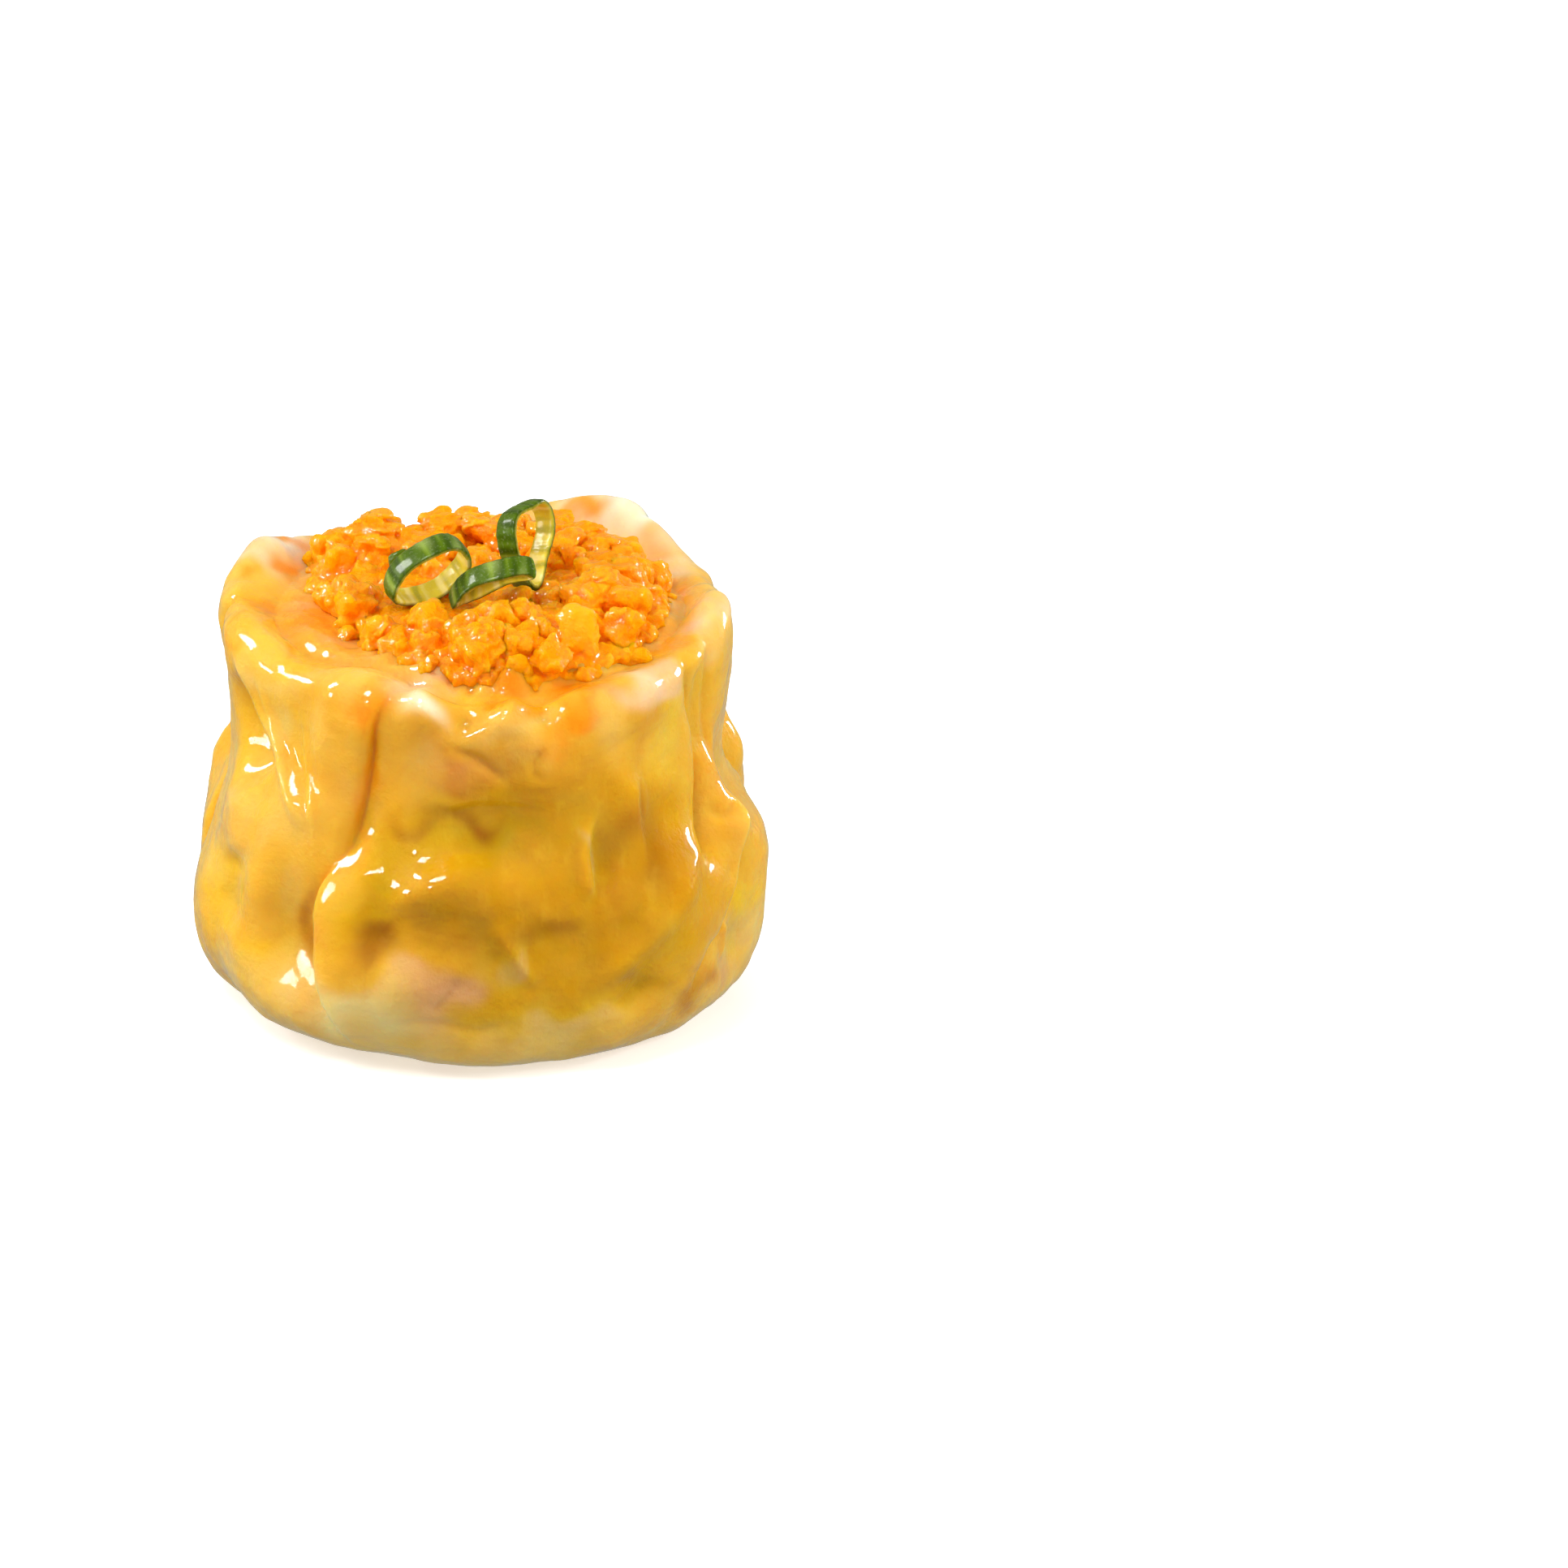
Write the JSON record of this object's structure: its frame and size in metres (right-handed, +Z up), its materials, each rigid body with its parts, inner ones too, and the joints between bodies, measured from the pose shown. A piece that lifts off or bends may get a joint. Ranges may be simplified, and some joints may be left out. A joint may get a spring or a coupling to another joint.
{
  "type": "shumai dumpling",
  "caption": "One whole steamed shumai: a pleated yellow wheat skin open at the top, filled with meat and heaped with chopped carrot and cut spring onion.",
  "frame": {"origin": "middle of the underside, on the surface that the dumpling stands on", "axes": "+Z up, -Y towards the front that the picture shows, +X to the right seen from the front"},
  "size_m": [0.0403, 0.041, 0.036],
  "materials": {
    "skin": "wet, glossy and slightly see-through",
    "meat": "wet",
    "carrot": "wet and glossy",
    "scallion": "satin"
  },
  "bodies": {
    "root": {"wrapper": "skin", "filling": "meat", "carrot_heap": "carrot", "scallion_ring_left": "scallion", "scallion_ring_right": "scallion", "scallion_strip": "scallion", "scallion_scrap": "scallion"}
  },
  "joints": []
}
